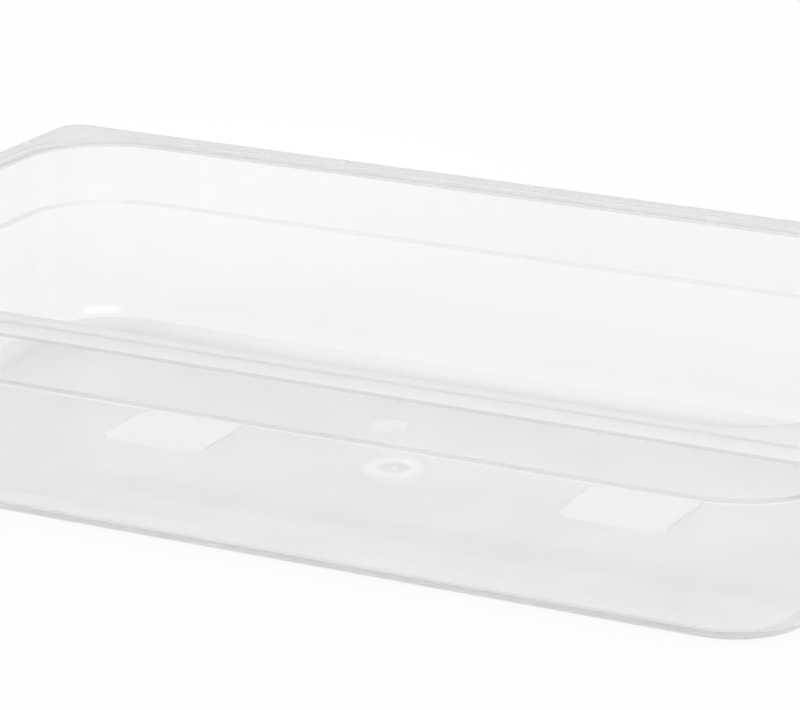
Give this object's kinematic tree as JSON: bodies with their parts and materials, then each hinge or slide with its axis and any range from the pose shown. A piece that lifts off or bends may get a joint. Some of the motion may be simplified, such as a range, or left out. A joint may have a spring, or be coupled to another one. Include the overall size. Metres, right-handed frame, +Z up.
{
  "type": "gastronorm food pan",
  "caption": "Open full-size food pan of translucent plastic, with drafted sides, rounded corners and base, a nesting shoulder and a stepped rim with a down-turned skirt.",
  "frame": {"origin": "middle of the underside of the floor, which rests at z = 0", "axes": "+Z up, +X along the long side of the rim, +Y along the short side"},
  "size_m": [0.53, 0.325, 0.1],
  "materials": {
    "pan_plastic": "natural translucent polypropylene, smooth with a soft sheen"
  },
  "bodies": {
    "root": {"pan": "pan_plastic"}
  },
  "joints": []
}
